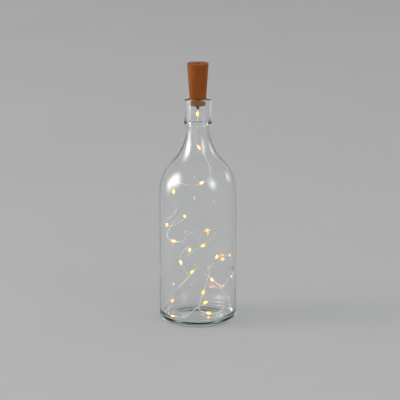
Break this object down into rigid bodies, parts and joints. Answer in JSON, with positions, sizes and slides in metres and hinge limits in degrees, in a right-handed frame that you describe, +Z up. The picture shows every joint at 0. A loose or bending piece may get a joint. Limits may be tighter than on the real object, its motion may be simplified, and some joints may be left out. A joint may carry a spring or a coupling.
{
  "type": "cork bottle light",
  "caption": "Clear glass bottle closed by a tapered brown stopper that holds button cells and feeds a thin wire of warm resin-drop lights lying in loose loops inside.",
  "frame": {"origin": "centre of the ring that the bottle stands on", "axes": "+Z up along the bottle's axis, -Y towards the viewer"},
  "size_m": [0.082, 0.082, 0.2786],
  "materials": {
    "bottle_glass": "clear blown glass with a faint blue-green tint in thick places",
    "stopper_brown": "smooth warm brown moulding, slight satin",
    "bush_rubber": "soft dark brown strain relief",
    "carrier_plastic": "black moulded cradle",
    "contact_metal": "nickel-plated contact sheet",
    "spring_steel": "plated spring wire",
    "cell_steel": "bright rolled can",
    "board_green": "varnished board",
    "resistor_black": "small chip resistor",
    "switch_steel": "folded sheet can",
    "knob_black": "black switch knob",
    "wire_silver": "varnished silver twin wire",
    "drop_resin": "clear resin drop, lit from inside",
    "chip_amber": "glowing chip"
  },
  "bodies": {
    "bottle": {"glass_bottle": "bottle_glass"},
    "stopper": {"cork_shell": "stopper_brown", "wire_bush": "bush_rubber", "contact_centre": "contact_metal", "contact_ring": "contact_metal", "light_wire": "wire_silver", "led_drop_01": "drop_resin", "led_drop_02": "drop_resin", "led_drop_03": "drop_resin", "led_drop_04": "drop_resin", "led_drop_05": "drop_resin", "led_drop_06": "drop_resin", "led_drop_07": "drop_resin", "led_drop_08": "drop_resin", "led_drop_09": "drop_resin", "led_drop_10": "drop_resin", "led_drop_11": "drop_resin", "led_drop_12": "drop_resin", "led_drop_13": "drop_resin", "led_drop_14": "drop_resin", "led_drop_15": "drop_resin", "led_drop_16": "drop_resin", "led_drop_17": "drop_resin", "led_drop_18": "drop_resin", "led_drop_19": "drop_resin", "led_drop_20": "drop_resin", "led_chip_01": "chip_amber", "led_chip_02": "chip_amber", "led_chip_03": "chip_amber", "led_chip_04": "chip_amber", "led_chip_05": "chip_amber", "led_chip_06": "chip_amber", "led_chip_07": "chip_amber", "led_chip_08": "chip_amber", "led_chip_09": "chip_amber", "led_chip_10": "chip_amber", "led_chip_11": "chip_amber", "led_chip_12": "chip_amber", "led_chip_13": "chip_amber", "led_chip_14": "chip_amber", "led_chip_15": "chip_amber", "led_chip_16": "chip_amber", "led_chip_17": "chip_amber", "led_chip_18": "chip_amber", "led_chip_19": "chip_amber", "led_chip_20": "chip_amber"},
    "carrier": {"battery_carrier": "carrier_plastic", "top_cap": "stopper_brown", "circuit_board": "board_green", "series_resistor": "resistor_black", "switch_body": "switch_steel", "positive_contact": "contact_metal", "negative_rivet": "contact_metal", "negative_spring": "spring_steel", "bus_strip": "contact_metal", "cell_1": "cell_steel", "cell_2": "cell_steel", "cell_3": "cell_steel"},
    "knob": {"switch_knob": "knob_black"}
  },
  "joints": [
    {"name": "stopper_lift", "type": "slide", "parent": "bottle", "child": "stopper", "axis": [0, 0, 1], "range_m": [0, 0.015]},
    {"name": "carrier_pull", "type": "slide", "parent": "stopper", "child": "carrier", "axis": [0, 0, 1], "range_m": [0, 0.042]},
    {"name": "switch_slide", "type": "slide", "parent": "carrier", "child": "knob", "axis": [-1, 0, 0], "range_m": [0, 0.002]}
  ]
}
